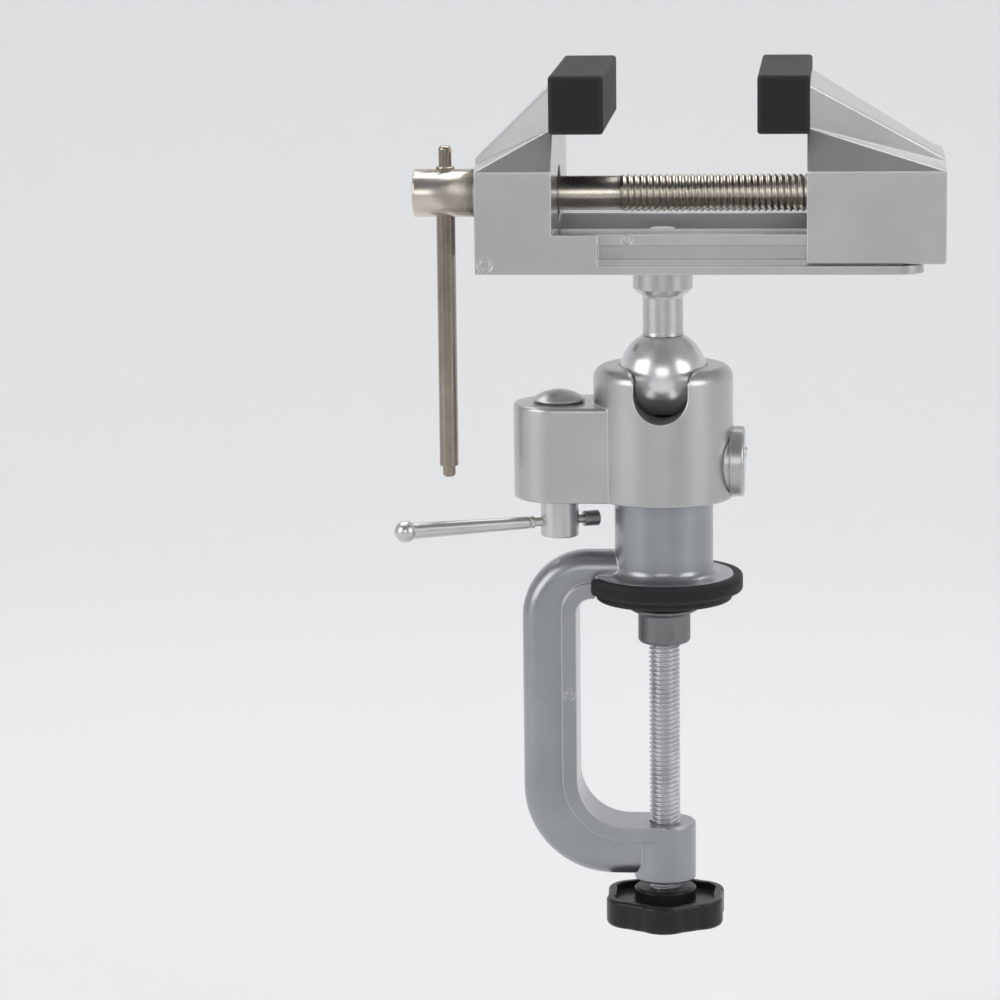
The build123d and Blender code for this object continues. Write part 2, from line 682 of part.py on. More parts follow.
def edges_between(shape, *corner_pairs):
    """The edges that run between two corners, for each pair of (x, y, z) corners given, with
    their mirror images on the other side of Y = 0."""

    def at(point, corner):
        x, y, z = corner
        return max(abs(point.X - x), abs(abs(point.Y) - abs(y)), abs(point.Z - z)) < 0.1

    def wanted(edge):
        start, end = edge @ 0, edge @ 1
        for first, second in corner_pairs:
            if (at(start, first) and at(end, second)) or (at(start, second) and at(end, first)):
                return True
        return False

    return shape.edges().filter_by(wanted)


def jaw_block(outer_x, end_x, inner_x, bottom):
    """One cast jaw: a box whose outer end stands out to end_x in the middle, and above it a
    wedge that narrows and falls towards the outer end, with a bevelled gusset on each side."""
    wide = CASTING_HALF_WIDTH
    narrow = TOP_HALF_WIDTH_OUTER
    plan = [
        (inner_x, -wide),
        (outer_x, -wide),
        (end_x, -narrow),
        (end_x, narrow),
        (outer_x, wide),
        (inner_x, wide),
    ]
    prism = Pos(0, 0, bottom) * extrude(make_face(Polyline(*plan, close=True)), 70)
    top = through((inner_x, -1, TOP_Z_INNER), (inner_x, 1, TOP_Z_INNER), (end_x, 0, TOP_Z_OUTER))
    prism = split(prism, bisect_by=top, keep=Keep.BOTTOM)
    inner_half = TOP_HALF_WIDTH_INNER
    wedge_plan = [
        (inner_x, -inner_half),
        (end_x, -narrow),
        (end_x, narrow),
        (inner_x, inner_half),
    ]
    wedge = Pos(0, 0, bottom) * extrude(make_face(Polyline(*wedge_plan, close=True)), 70)
    lower = prism
    for side in (-1, 1):
        far = (outer_x, side * wide, LEDGE_Z)
        near = (inner_x, side * wide, LEDGE_Z)
        crest = (inner_x, side * inner_half, GUSSET_Z)
        foot = (end_x, side * narrow, LEDGE_Z)
        lower = split(lower, bisect_by=through(far, near, crest), keep=Keep.BOTTOM)
        lower = split(lower, bisect_by=through(far, crest, foot), keep=Keep.BOTTOM)
    jaw = lower + (prism & wedge)
    rounded = edges_between(
        jaw,
        ((end_x, narrow, TOP_Z_OUTER), (inner_x, inner_half, TOP_Z_INNER)),
        ((end_x, narrow, TOP_Z_OUTER), (end_x, narrow, TOP_Z_OUTER)),
        ((outer_x, wide, bottom), (outer_x, wide, LEDGE_Z)),
        ((outer_x, wide, LEDGE_Z), (inner_x, wide, LEDGE_Z)),
    )
    return fillet(rounded, JAW_ROUNDING)


def tongue(start, end):
    """The cast tongue that a rubber jaw block is pushed on to."""
    return block((min(start, end), max(start, end)), TONGUE_HALF_WIDTH, (TONGUE_BOTTOM, TOP_Z_INNER))


def make_fixed_jaw():
    jaw = jaw_block(FIXED_OUTER_X, FIXED_END_X, FIXED_INNER_X, BASE_BOTTOM)
    jaw += tongue(FIXED_INNER_X - 0.5, FIXED_INNER_X + TONGUE_LENGTH)
    plate = block((FIXED_INNER_X - 1, PLATE_END), CASTING_HALF_WIDTH, (BASE_BOTTOM, PLATE_TOP))
    right_corners = plate.edges().filter_by(Axis.Z).group_by(Axis.X)[-1]
    plate = fillet(right_corners, PLATE_CORNER)
    shoulder = block(
        (FIXED_INNER_X - 1, RAIL_START), CASTING_HALF_WIDTH, (BASE_BOTTOM, RAIL_TOP)
    )
    rails = block((RAIL_START - 1, RAIL_END), RAIL_HALF_WIDTH, (BASE_BOTTOM, RAIL_TOP))
    rails -= side_blocks(
        (RAIL_START, RAIL_END + 1),
        (GROOVE_HALF_WIDTH, RAIL_HALF_WIDTH + 1),
        (GROOVE_BOTTOM, GROOVE_TOP),
    )
    jaw += plate + shoulder + rails
    jaw -= block((FIXED_INNER_X, PLATE_END + 1), CHANNEL_HALF_WIDTH, (CHANNEL_FLOOR, RAIL_TOP + 1))
    jaw -= rod_x(JAW_SCREW_THREAD + 0.1, FIXED_OUTER_X - 3, FIXED_INNER_X + 1, JAW_AXIS_Z)
    jaw -= rod_x(
        CLIP_RECESS_RADIUS, FIXED_INNER_X - CLIP_RECESS_DEPTH, FIXED_INNER_X + 1, JAW_AXIS_Z
    )
    jaw -= rod(STUD_RADIUS + 0.1, BASE_BOTTOM - 1, CHANNEL_FLOOR + 1)
    jaw -= side_blocks(FIXED_POCKET_X, FIXED_POCKET_Y, (BASE_BOTTOM - 1, FIXED_POCKET_TOP))
    jaw -= side_blocks(RAIL_POCKET_X, RAIL_POCKET_Y, (BASE_BOTTOM - 1, RAIL_POCKET_TOP))
    return jaw - front_mark(FIXED_JAW_MARK, -CASTING_HALF_WIDTH) - front_mark(RAIL_MARK, -RAIL_HALF_WIDTH)


def make_moving_jaw():
    jaw = jaw_block(MOVING_OUTER_X, MOVING_END_X, MOVING_INNER_X, MOVING_BOTTOM)
    jaw = fillet(jaw.edges().group_by(Axis.Z)[0].sort_by(Axis.X)[-1], MOVING_CORNER)
    jaw += tongue(MOVING_INNER_X - TONGUE_LENGTH, MOVING_INNER_X + 0.5)
    low = MOVING_BOTTOM - 1
    whole = (MOVING_INNER_X - 1, MOVING_OUTER_X + 3)
    jaw -= block(whole, RAIL_HALF_WIDTH + SLIDE_GAP, (low, RAIL_TOP + SLIDE_GAP))
    jaw += side_blocks(
        (MOVING_INNER_X, MOVING_OUTER_X),
        (GROOVE_HALF_WIDTH + SLIDE_GAP, RAIL_HALF_WIDTH + 1),
        (GROOVE_BOTTOM + SLIDE_GAP, GROOVE_TOP - SLIDE_GAP),
    )
    guide_half = CHANNEL_HALF_WIDTH - SLIDE_GAP
    jaw += block(GUIDE_X, guide_half, (CHANNEL_FLOOR + 1, RAIL_TOP + 1))
    jaw -= rod_x(JAW_SCREW_THREAD + 0.4, whole[0], whole[1], JAW_AXIS_Z)
    jaw -= block((NUT_START, NUT_END), NUT_HALF_WIDTH, (RAIL_TOP, NUT_TOP))
    return jaw - side_blocks(MOVING_POCKET_X, MOVING_POCKET_Y, (RAIL_TOP, MOVING_POCKET_TOP))


def make_jaw_nut():
    nut = block((NUT_START, NUT_END), NUT_HALF_WIDTH, (RAIL_TOP + 0.5, NUT_TOP))
    return nut - rod_x(JAW_SCREW_THREAD + RUNNING_GAP, NUT_START - 1, NUT_END + 1, JAW_AXIS_Z)


def jaw_pad(back, face):
    """A moulded rubber jaw block, all edges softly rounded."""
    span = (min(back, face), max(back, face))
    pad = block(span, JAW_PAD_HALF_WIDTH, (JAW_PAD_BOTTOM, JAW_PAD_TOP))
    return fillet(pad.edges(), 1.0)


def make_jaw_screw():
    head = rod_x(SCREW_HEAD_RADIUS, SCREW_HEAD_LEFT, SCREW_HEAD_RIGHT, JAW_AXIS_Z)
    head = fillet(head.edges().group_by(Axis.X)[0], 0.8)
    screw = head + rod_x(JAW_SCREW_SHANK, SCREW_HEAD_RIGHT - 1, THREAD_START + 1, JAW_AXIS_Z)
    thread = rod_x(JAW_SCREW_THREAD, THREAD_START, THREAD_END, JAW_AXIS_Z)
    screw += chamfer(thread.edges(), 0.8)
    groove = rod_x(SCREW_HEAD_RADIUS, CLIP_X, CLIP_X + CLIP_GROOVE, JAW_AXIS_Z)
    groove -= rod_x(JAW_SCREW_SHANK - 0.8, CLIP_X - 1, CLIP_X + 2, JAW_AXIS_Z)
    hole = Pos(TOMMY_X, 0, 0) * rod(TOMMY_RADIUS + RUNNING_GAP, 100, 160)
    sink = Pos(TOMMY_X, 0, JAW_AXIS_Z + SCREW_HEAD_RADIUS - 0.6) * Cone(2.6, 4.4, 1.8)
    return screw - groove - hole - sink


def make_screw_clip():
    left = CLIP_X + RUNNING_GAP
    right = CLIP_X + CLIP_GROOVE - RUNNING_GAP
    ring = rod_x(CLIP_RADIUS, left, right, JAW_AXIS_Z)
    ring -= rod_x(JAW_SCREW_SHANK - 0.8, left - 1, right + 1, JAW_AXIS_Z)
    opening = (JAW_AXIS_Z + 2, JAW_AXIS_Z + CLIP_RADIUS + 1)
    return ring - block((left - 1, right + 1), CLIP_OPENING / 2, opening)


def make_screw_washer():
    left = SCREW_HEAD_RIGHT + 0.1
    right = FIXED_END_X
    washer = rod_x(WASHER_RADIUS, left, right, JAW_AXIS_Z)
    return washer - rod_x(JAW_SCREW_THREAD + 0.1, left - 1, right + 1, JAW_AXIS_Z)


def make_tommy_bar():
    bar = turned(
        [
            (0, TOMMY_BOTTOM),
            (TOMMY_TIP_RADIUS, TOMMY_BOTTOM),
            (TOMMY_TIP_RADIUS, TOMMY_LOWER_SHOULDER),
            (TOMMY_RADIUS - 0.3, TOMMY_LOWER_SHOULDER),
            (TOMMY_RADIUS, TOMMY_LOWER_SHOULDER + 0.3),
            (TOMMY_RADIUS, TOMMY_UPPER_SHOULDER - 0.3),
            (TOMMY_RADIUS - 0.3, TOMMY_UPPER_SHOULDER),
            (TOMMY_TIP_RADIUS, TOMMY_UPPER_SHOULDER),
            (TOMMY_TIP_RADIUS, TOMMY_TOP),
            (0, TOMMY_TOP),
        ]
    )
    bar = fillet(bar.edges().group_by(Axis.Z)[0], TOMMY_TIP_ROUNDING)
    bar = fillet(bar.edges().group_by(Axis.Z)[-1], TOMMY_TIP_ROUNDING)
    return Pos(TOMMY_X, 0, 0) * bar


def make_all():
    fixed_jaw = make_fixed_jaw()
    moving_jaw = make_moving_jaw()
    return {
        "clamp_frame": make_clamp_frame(),
        "bench_pad": make_bench_pad(),
        "post_ring": make_post_ring(),
        "clamp_shoe": make_clamp_shoe(),
        "shoe_ring": make_shoe_ring(),
        "clamp_screw": make_clamp_screw(),
        "clamp_knob": make_clamp_knob(),
        "socket_housing": make_socket_housing(),
        "ball_seat": make_ball_seat(),
        "lock_bush": make_lock_bush(),
        "side_cap": make_side_cap(),
        "adjuster_cap": make_adjuster_cap(),
        "adjuster_screw": make_adjuster_screw(),
        "drag_plug": make_drag_plug(),
        "lock_spindle": make_lock_spindle(),
        "lock_plunger": make_lock_plunger(),
        "lock_lever": make_lock_lever(),
        "lever_end_cap": make_lever_end_cap(),
        "ball": make_ball(),
        "ball_stem": make_ball_stem(),
        "stem_nut": make_stem_nut(),
        "fixed_jaw": fixed_jaw,
        "jaw_pad_fixed": jaw_pad(FIXED_PAD_BACK, FIXED_PAD_FACE) - fixed_jaw,
        "screw_washer": make_screw_washer(),
        "jaw_screw": make_jaw_screw(),
        "screw_clip": make_screw_clip(),
        "tommy_bar": make_tommy_bar(),
        "moving_jaw": moving_jaw,
        "jaw_nut": make_jaw_nut(),
        "jaw_pad_moving": jaw_pad(MOVING_PAD_BACK, MOVING_PAD_FACE) - moving_jaw,
    }


os.makedirs("parts", exist_ok=True)
for name, shape in make_all().items():
    solids = shape.solids()
    export_step(solids[0] if len(solids) == 1 else Compound(solids), f"parts/{name}.step")
    print(name, len(solids), round(shape.volume, 1))
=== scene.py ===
import math

import bmesh
import bpy
import numpy as np
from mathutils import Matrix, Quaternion, Vector


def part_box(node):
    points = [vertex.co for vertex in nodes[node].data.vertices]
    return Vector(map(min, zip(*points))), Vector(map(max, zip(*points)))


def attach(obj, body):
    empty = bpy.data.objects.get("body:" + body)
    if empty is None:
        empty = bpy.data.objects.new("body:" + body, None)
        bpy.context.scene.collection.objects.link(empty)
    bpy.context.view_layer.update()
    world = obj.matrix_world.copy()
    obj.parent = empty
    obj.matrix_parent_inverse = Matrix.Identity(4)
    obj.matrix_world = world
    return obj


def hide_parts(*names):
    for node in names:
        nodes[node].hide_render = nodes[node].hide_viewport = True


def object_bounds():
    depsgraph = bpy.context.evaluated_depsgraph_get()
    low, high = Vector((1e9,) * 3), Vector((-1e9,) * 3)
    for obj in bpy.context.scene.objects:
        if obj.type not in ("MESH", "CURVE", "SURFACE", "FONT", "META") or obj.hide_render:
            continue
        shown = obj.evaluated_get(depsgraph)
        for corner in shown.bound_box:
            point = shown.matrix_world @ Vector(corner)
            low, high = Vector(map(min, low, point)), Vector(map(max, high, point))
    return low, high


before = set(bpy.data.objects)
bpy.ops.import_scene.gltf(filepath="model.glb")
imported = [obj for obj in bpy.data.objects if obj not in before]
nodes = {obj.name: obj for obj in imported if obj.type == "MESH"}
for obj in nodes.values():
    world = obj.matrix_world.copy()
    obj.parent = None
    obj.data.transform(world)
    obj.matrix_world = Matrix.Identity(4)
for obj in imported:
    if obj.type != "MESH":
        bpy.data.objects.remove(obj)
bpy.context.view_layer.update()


# The C-frame is one aluminium die casting: a flat band with a round rib down its back,
# the disc and post on top and the threaded boss below. It is sprayed with a bluish silver
# lacquer, which lies thick and smooth in the corners, and its edges carry a painted highlight.

FRAME_SILVER = (0.37, 0.383, 0.4)
FRAME_SILVER_DEEP = (0.314, 0.326, 0.343)
# The edge tone below is a painted highlight: it lightens the lacquer along edges.
EDGE_SILVER_HIGHLIGHT = (0.72, 0.735, 0.76)
CAST_EDGE = 0.0007
LACQUER_METAL = 0.85
LACQUER_COAT = 0.6
LACQUER_COAT_ROUGHNESS = 0.1
LACQUER_IOR = 1.5
LACQUER_ROUGHNESS = (0.32, 0.39)
LACQUER_CLOUD = 0.026
FLAKE_SIZE = 0.00035
FLAKE_BUMP = 0.04
FLAKE_HEIGHT = 0.00004
FULL_EDGE_HIGHLIGHT = 0.95
OPEN_FACE_LEAN = 0.995
SHARP_EDGE_LEAN = 0.86
EDGE_SAMPLES = 6
CLOUD_DETAIL = 3.0
GRAIN_DETAIL = 2.0
NOISE_ROUGHNESS = 0.55
NOISE_SPAN = (0.3, 0.7)


def add(tree, kind, **settings):
    """One shader node of a kind, with its own settings and, by name, its input values."""
    made = tree.nodes.new(kind)
    inputs = settings.pop("inputs", {})
    for key, value in settings.items():
        setattr(made, key, value)
    for key, value in inputs.items():
        made.inputs[key].default_value = value
    return made


def group_tree(name, takes, gives):
    """An empty shader group with named inputs (name, kind, start value) and outputs."""
    tree = bpy.data.node_groups.new(name, "ShaderNodeTree")
    for label, kind, value in takes:
        socket = tree.interface.new_socket(label, in_out="INPUT", socket_type=kind)
        if value is not None:
            socket.default_value = value
    for label, kind in gives:
        tree.interface.new_socket(label, in_out="OUTPUT", socket_type=kind)
    return tree, tree.nodes.new("NodeGroupInput"), tree.nodes.new("NodeGroupOutput")


def soft_edge_group():
    """Softened edges: the normal is averaged over a small radius, and the mask is how far
    that average leans away from the face, 1 on an edge and 0 on an open face."""
    tree, given, out = group_tree(
        "soft_edge",
        [("Radius", "NodeSocketFloat", 0.0005)],
        [("Normal", "NodeSocketVector"), ("Edge", "NodeSocketFloat")],
    )
    link = tree.links.new
    bevel = add(tree, "ShaderNodeBevel", samples=EDGE_SAMPLES)
    face = add(tree, "ShaderNodeNewGeometry")
    lean = add(tree, "ShaderNodeVectorMath", operation="DOT_PRODUCT")
    mask = add(tree, "ShaderNodeMapRange", clamp=True)
    mask.inputs["From Min"].default_value = OPEN_FACE_LEAN
    mask.inputs["From Max"].default_value = SHARP_EDGE_LEAN
    link(given.outputs["Radius"], bevel.inputs["Radius"])
    link(bevel.outputs["Normal"], lean.inputs[0])
    link(face.outputs["Normal"], lean.inputs[1])
    link(lean.outputs["Value"], mask.inputs["Value"])
    link(bevel.outputs["Normal"], out.inputs["Normal"])
    link(mask.outputs["Result"], out.inputs["Edge"])
    return tree


def grain_group():
    """Two sizes of noise in the object's own coordinates: wide clouds for the tone of the
    surface, and a fine grain that is both a mask and a height."""
    tree, given, out = group_tree(
        "grain",
        [("Cloud Size", "NodeSocketFloat", 0.01), ("Grain Size", "NodeSocketFloat", 0.0004)],
        [("Cloud", "NodeSocketFloat"), ("Grain", "NodeSocketFloat")],
    )
    link = tree.links.new
    place = add(tree, "ShaderNodeTexCoord")
    for label, detail in (("Cloud", CLOUD_DETAIL), ("Grain", GRAIN_DETAIL)):
        scale = add(tree, "ShaderNodeMath", operation="DIVIDE")
        scale.inputs[0].default_value = 1.0
        noise = add(
            tree, "ShaderNodeTexNoise", inputs={"Detail": detail, "Roughness": NOISE_ROUGHNESS}
        )
        link(given.outputs[label + " Size"], scale.inputs[1])
        link(scale.outputs["Value"], noise.inputs["Scale"])
        link(place.outputs["Object"], noise.inputs["Vector"])
        link(noise.outputs["Fac"], out.inputs[label])
    return tree


SOFT_EDGE = soft_edge_group()
GRAIN = grain_group()


def use_group(tree, group, **inputs):
    """A placed copy of a shader group with its own input values."""
    made = add(tree, "ShaderNodeGroup", node_tree=group)
    for label, value in inputs.items():
        made.inputs[label.replace("_", " ")].default_value = value
    return made


def new_finish(name, **plain):
    """A material with one Principled shader, whose plain numbers are set on its own sockets."""
    material = bpy.data.materials.new(name)
    material.use_nodes = True
    shader = material.node_tree.nodes["Principled BSDF"]
    for label, value in plain.items():
        shader.inputs[label.replace("_", " ")].default_value = value
    return material, material.node_tree, shader


def span(tree, source, low, high, start=0.0, end=1.0):
    """The source value carried from start..end on to low..high."""
    made = add(tree, "ShaderNodeMapRange", clamp=True)
    made.inputs["From Min"].default_value = start
    made.inputs["From Max"].default_value = end
    made.inputs["To Min"].default_value = low
    made.inputs["To Max"].default_value = high
    tree.links.new(source, made.inputs["Value"])
    return made.outputs["Result"]


def two_tones(tree, mask, first, second):
    """A colour that goes from the first tone at mask 0 to the second at mask 1."""
    made = add(tree, "ShaderNodeMix", data_type="RGBA")
    made.inputs["A"].default_value = (*first, 1)
    made.inputs["B"].default_value = (*second, 1)
    tree.links.new(mask, made.inputs["Factor"])
    return made.outputs["Result"]


def raise_surface(tree, shader, edge, relief, strength, depth):
    """Bumps the shader's normal by a relief, on top of the softened edges."""
    bump = add(tree, "ShaderNodeBump", inputs={"Strength": strength, "Distance": depth})
    tree.links.new(relief, bump.inputs["Height"])
    tree.links.new(edge.outputs["Normal"], bump.inputs["Normal"])
    tree.links.new(bump.outputs["Normal"], shader.inputs["Normal"])


def silver_lacquer(name, tone, deep_tone, edge_highlight_tone):
    """Silver lacquer over a casting: clouds of tone, a fine metal flake that breaks up the
    gloss, and a painted highlight along thin edges."""
    finish, tree, shader = new_finish(
        name,
        Metallic=LACQUER_METAL,
        Coat_Weight=LACQUER_COAT,
        Coat_Roughness=LACQUER_COAT_ROUGHNESS,
        IOR=LACQUER_IOR,
    )
    link = tree.links.new
    edge = use_group(tree, SOFT_EDGE, Radius=CAST_EDGE)
    grain = use_group(tree, GRAIN, Cloud_Size=LACQUER_CLOUD, Grain_Size=FLAKE_SIZE)
    cloud = span(tree, grain.outputs["Cloud"], 0.0, 1.0, *NOISE_SPAN)
    body = two_tones(tree, cloud, deep_tone, tone)
    # Painted highlight: the colour is mixed towards the light edge tone along edges.
    painted_edge_highlight = add(tree, "ShaderNodeMix", data_type="RGBA")
    painted_edge_highlight.inputs["B"].default_value = (*edge_highlight_tone, 1)
    link(span(tree, edge.outputs["Edge"], 0.0, FULL_EDGE_HIGHLIGHT), painted_edge_highlight.inputs["Factor"])
    link(body, painted_edge_highlight.inputs["A"])
    link(painted_edge_highlight.outputs["Result"], shader.inputs["Base Color"])
    gloss = span(tree, grain.outputs["Grain"], *LACQUER_ROUGHNESS, *NOISE_SPAN)
    link(gloss, shader.inputs["Roughness"])
    raise_surface(tree, shader, edge, grain.outputs["Grain"], FLAKE_BUMP, FLAKE_HEIGHT)
    return finish


def paint(finish, *names):
    """Gives CAD nodes a finish, in place of the one that they came with."""
    for name in names:
        mesh = nodes[name].data
        mesh.materials.clear()
        mesh.materials.append(finish)


frame_lacquer = silver_lacquer("frame_lacquer", FRAME_SILVER, FRAME_SILVER_DEEP, EDGE_SILVER_HIGHLIGHT)
paint(frame_lacquer, "clamp_frame")


# The bench pad and the two jaw blocks are moulded black rubber, pushed on to the castings
# and held by their own grip. Their skin is matt, with a faint painted highlight on the edges
# and corners.

RUBBER_BLACK = (0.017, 0.017, 0.018)
# The lighter tone below is a painted highlight, laid in patches along the rubber's edges.
RUBBER_EDGE_HIGHLIGHT = (0.19, 0.19, 0.194)
RUBBER_SPECULAR = 0.22
RUBBER_ROUGHNESS = (0.56, 0.6)
RUBBER_EDGE = 0.0016
RUBBER_CLOUD = 0.012
EDGE_HIGHLIGHT_PATCHES = (0.6, 1.0)
RUBBER_GRAIN = 0.0005
RUBBER_BUMP = 0.3
RUBBER_RELIEF = 0.00005

rubber, tree, shader = new_finish("moulded_rubber", Specular_IOR_Level=RUBBER_SPECULAR)
edge = use_group(tree, SOFT_EDGE, Radius=RUBBER_EDGE)
grain = use_group(tree, GRAIN, Cloud_Size=RUBBER_CLOUD, Grain_Size=RUBBER_GRAIN)
cloud = grain.outputs["Cloud"]
# Painted highlight: the edge mask times the clouds lightens the rubber in patches along its
# edges.
rubber_highlight_mask = add(tree, "ShaderNodeMath", operation="MULTIPLY", use_clamp=True)
tree.links.new(edge.outputs["Edge"], rubber_highlight_mask.inputs[0])
tree.links.new(span(tree, cloud, *EDGE_HIGHLIGHT_PATCHES, *NOISE_SPAN), rubber_highlight_mask.inputs[1])
tone = two_tones(tree, rubber_highlight_mask.outputs["Value"], RUBBER_BLACK, RUBBER_EDGE_HIGHLIGHT)
tree.links.new(tone, shader.inputs["Base Color"])
gloss = span(tree, cloud, *RUBBER_ROUGHNESS, *NOISE_SPAN)
tree.links.new(gloss, shader.inputs["Roughness"])
raise_surface(tree, shader, edge, grain.outputs["Grain"], RUBBER_BUMP, RUBBER_RELIEF)


def piece(name, mesh, body, finish, slot, *stands_for):
    """A finished mesh as a piece that rides on a body and may stand for CAD nodes."""
    made = bpy.data.objects.new(name, mesh)
    bpy.context.scene.collection.objects.link(made)
    mesh.materials.append(finish)
    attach(made, body)
    if stands_for:
        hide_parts(*stands_for)
    return made


def closed_skin(name, rings, first_end, last_end, sharp_angle):
    """A closed mesh from rings, an array over (ring, point, xyz) whose rings each close on
    themselves, with one end point that closes the first ring and one that closes the last."""
    count, around = rings.shape[:2]
    row, column = np.meshgrid(np.arange(count - 1), np.arange(around), indexing="ij")
    beside = (column + 1) % around
    below, above = row * around, (row + 1) * around
    quads = np.stack([below + column, below + beside, above + beside, above + column], -1)
    here = np.arange(around)
    onward = (here + 1) % around
    first, last = count * around, count * around + 1
    last_row = (count - 1) * around
    first_fan = np.stack([np.full(around, first), onward, here], -1)
    last_fan = np.stack([np.full(around, last), last_row + here, last_row + onward], -1)
    points = np.vstack([rings.reshape(-1, 3), [first_end], [last_end]])
    faces = quads.reshape(-1, 4).tolist() + first_fan.tolist() + last_fan.tolist()
    mesh = bpy.data.meshes.new(name)
    mesh.from_pydata(points.tolist(), [], faces)
    mesh.shade_smooth()
    mesh.set_sharp_from_angle(angle=math.radians(sharp_angle))
    return mesh


PAD_EDGE = 0.0011
PAD_SAG = 0.00022
END_RINGS = 7
END_SHARES = (0.72, 0.44, 0.16)
LENGTH_RINGS = 40
CORNER_STEPS = 8
FACE_STEPS = 14
CREASE_ANGLE = 60


def rounded_section(half_x, half_z, edge):
    """Points round a rectangle with quarter-circle corners, as two arrays. Each flat side
    has evenly spaced points, so that it can sag, and each corner its own arc."""
    arc = np.linspace(0, math.pi / 2, CORNER_STEPS, endpoint=False)
    along = np.linspace(0, 1, FACE_STEPS, endpoint=False)
    xs, zs = [], []
    for turn in range(4):
        across, up = (half_x, half_z) if turn % 2 == 0 else (half_z, half_x)
        corner_u = across - edge + edge * np.cos(arc)
        corner_v = up - edge + edge * np.sin(arc)
        side_u = (across - edge) * (1 - 2 * along)
        side_v = np.full(FACE_STEPS, up)
        u, v = np.append(corner_u, side_u), np.append(corner_v, side_v)
        cosine, sine = round(math.cos(turn * math.pi / 2)), round(math.sin(turn * math.pi / 2))
        xs.append(u * cosine - v * sine)
        zs.append(u * sine + v * cosine)
    return np.concatenate(xs), np.concatenate(zs)


def rubber_block(node):
    """A jaw block inside a node's box. Rounded sections are carried along Y. Their sides
    sag by PAD_SAG * (1 - x^2) * (1 - y^2), as rubber shrinks in its mould, and at each end
    they draw in along a quarter circle and run flat to the middle."""
    low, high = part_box(node)
    half = (high - low) / 2
    middle = (high + low) / 2
    quarter = np.linspace(0, math.pi / 2, END_RINGS)
    xs, zs = rounded_section(half.x, half.z, PAD_EDGE)
    body_y = np.linspace(-1, 1, LENGTH_RINGS) * (half.y - PAD_EDGE)
    sections = []
    for y in body_y:
        level = 1 - (y / half.y) ** 2
        sag_x = PAD_SAG * level * (1 - (zs / half.z) ** 2) * np.sign(xs)
        sag_z = PAD_SAG * level * (1 - (xs / half.x) ** 2) * np.sign(zs)
        sections.append(np.stack([xs - sag_x, np.full_like(xs, y), zs - sag_z], -1))
    for side in (-1, 1):
        end = []
        for turn in quarter[1:]:
            inward = PAD_EDGE * (1 - math.cos(turn))
            shrunk = np.stack([xs * (1 - inward / half.x), zs * (1 - inward / half.z)], -1)
            y = side * (half.y - PAD_EDGE + PAD_EDGE * math.sin(turn))
            end.append(np.stack([shrunk[:, 0], np.full_like(xs, y), shrunk[:, 1]], -1))
        last = end[-1]
        for share in END_SHARES:
            end.append(last * [share, 1, share])
        sections = end[::-1] + sections if side < 0 else sections + end
    rings = np.array(sections) + np.array(middle)
    ends = [(middle.x, middle.y + side * half.y, middle.z) for side in (-1, 1)]
    return closed_skin(node + "_rubber", rings[:, ::-1], ends[0], ends[1], CREASE_ANGLE)


for node, body in (("jaw_pad_fixed", "head"), ("jaw_pad_moving", "slider")):
    piece(node + "_rubber", rubber_block(node), body, rubber, "black_rubber", node)


# The bench pad is one rubber disc with a step and a rim that grips the edge of the
# casting's disc. The rim stops on both sides of the C-frame's arm.

LIP_RADIUS = 0.0219
STEP_HEIGHT = 0.0029
SOLE_TOP = 0.00297
SOLE_MIDDLE = 0.002
GRIP_RADIUS = 0.02254
SOLE_GROOVES = (0.009, 0.015)
GROOVE_DEPTH = 0.0005
GROOVE_FORM = (
    (-0.0011, 0), (-0.0007, 0.7), (-0.0004, 1), (0.0004, 1), (0.0007, 0.7), (0.0011, 0)
)
LIP_ROUND = ((-0.0009, 0.0), (-0.0004, 0.00012), (-0.0001, 0.0004), (0.0, 0.0008))
STEP_HOLLOW = ((0.0, -0.0006), (0.0002, -0.0001))
STEP_END = (0.0006, 0.0)
RIM_FOOT_ROUND = ((-0.0009, 0.0), (-0.0003, 0.0002), (0.0, 0.0008))
RIM_TOP_ROUND = ((0.0, -0.001), (-0.0002, -0.0004), (-0.0005, -0.0001), (-0.0009, 0.0))
GRIP_TOP_ROUND = ((0.0005, 0.0), (0.0001, -0.0001), (0.0, -0.0004))
GRIP_FOOT_HOLLOW = ((0.0, 0.0002), (-0.0002, 0.0))
BARE_LEDGE = 0.0016
ARM_GAP_HALF = 0.0102
RIM_END = 0.0005
PAD_COLUMNS = 360

pad_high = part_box("bench_pad")[1]
pad_radius, pad_top = pad_high.x, pad_high.z


def round_off(corner_radius, corner_height, *offsets):
    """The profile points round one corner, from their offsets in radius and in height."""
    return [(corner_radius + out, corner_height + up) for out, up in offsets]


sole = [(SOLE_MIDDLE, 0.0)]
for groove in SOLE_GROOVES:
    sole += [(groove + beside, depth * GROOVE_DEPTH) for beside, depth in GROOVE_FORM]
sole += round_off(LIP_RADIUS, 0.0, *LIP_ROUND)
sole += round_off(LIP_RADIUS, STEP_HEIGHT, *STEP_HOLLOW)
rim = round_off(LIP_RADIUS, STEP_HEIGHT, STEP_END)
rim += round_off(pad_radius, STEP_HEIGHT, *RIM_FOOT_ROUND)
rim += round_off(pad_radius, pad_top, *RIM_TOP_ROUND)
rim += round_off(GRIP_RADIUS, pad_top, *GRIP_TOP_ROUND)
rim += round_off(GRIP_RADIUS, SOLE_TOP, *GRIP_FOOT_HOLLOW)
whole = np.array(sole + rim)
ledge = np.linspace(LIP_RADIUS, LIP_RADIUS - BARE_LEDGE, len(rim))
bare = np.vstack([np.array(sole), np.stack([ledge, np.full(len(rim), SOLE_TOP)], -1)])
turn = np.linspace(0, 2 * math.pi, PAD_COLUMNS, endpoint=False)
beside_arm = np.abs(whole[:, :1] * np.sin(turn)) - ARM_GAP_HALF
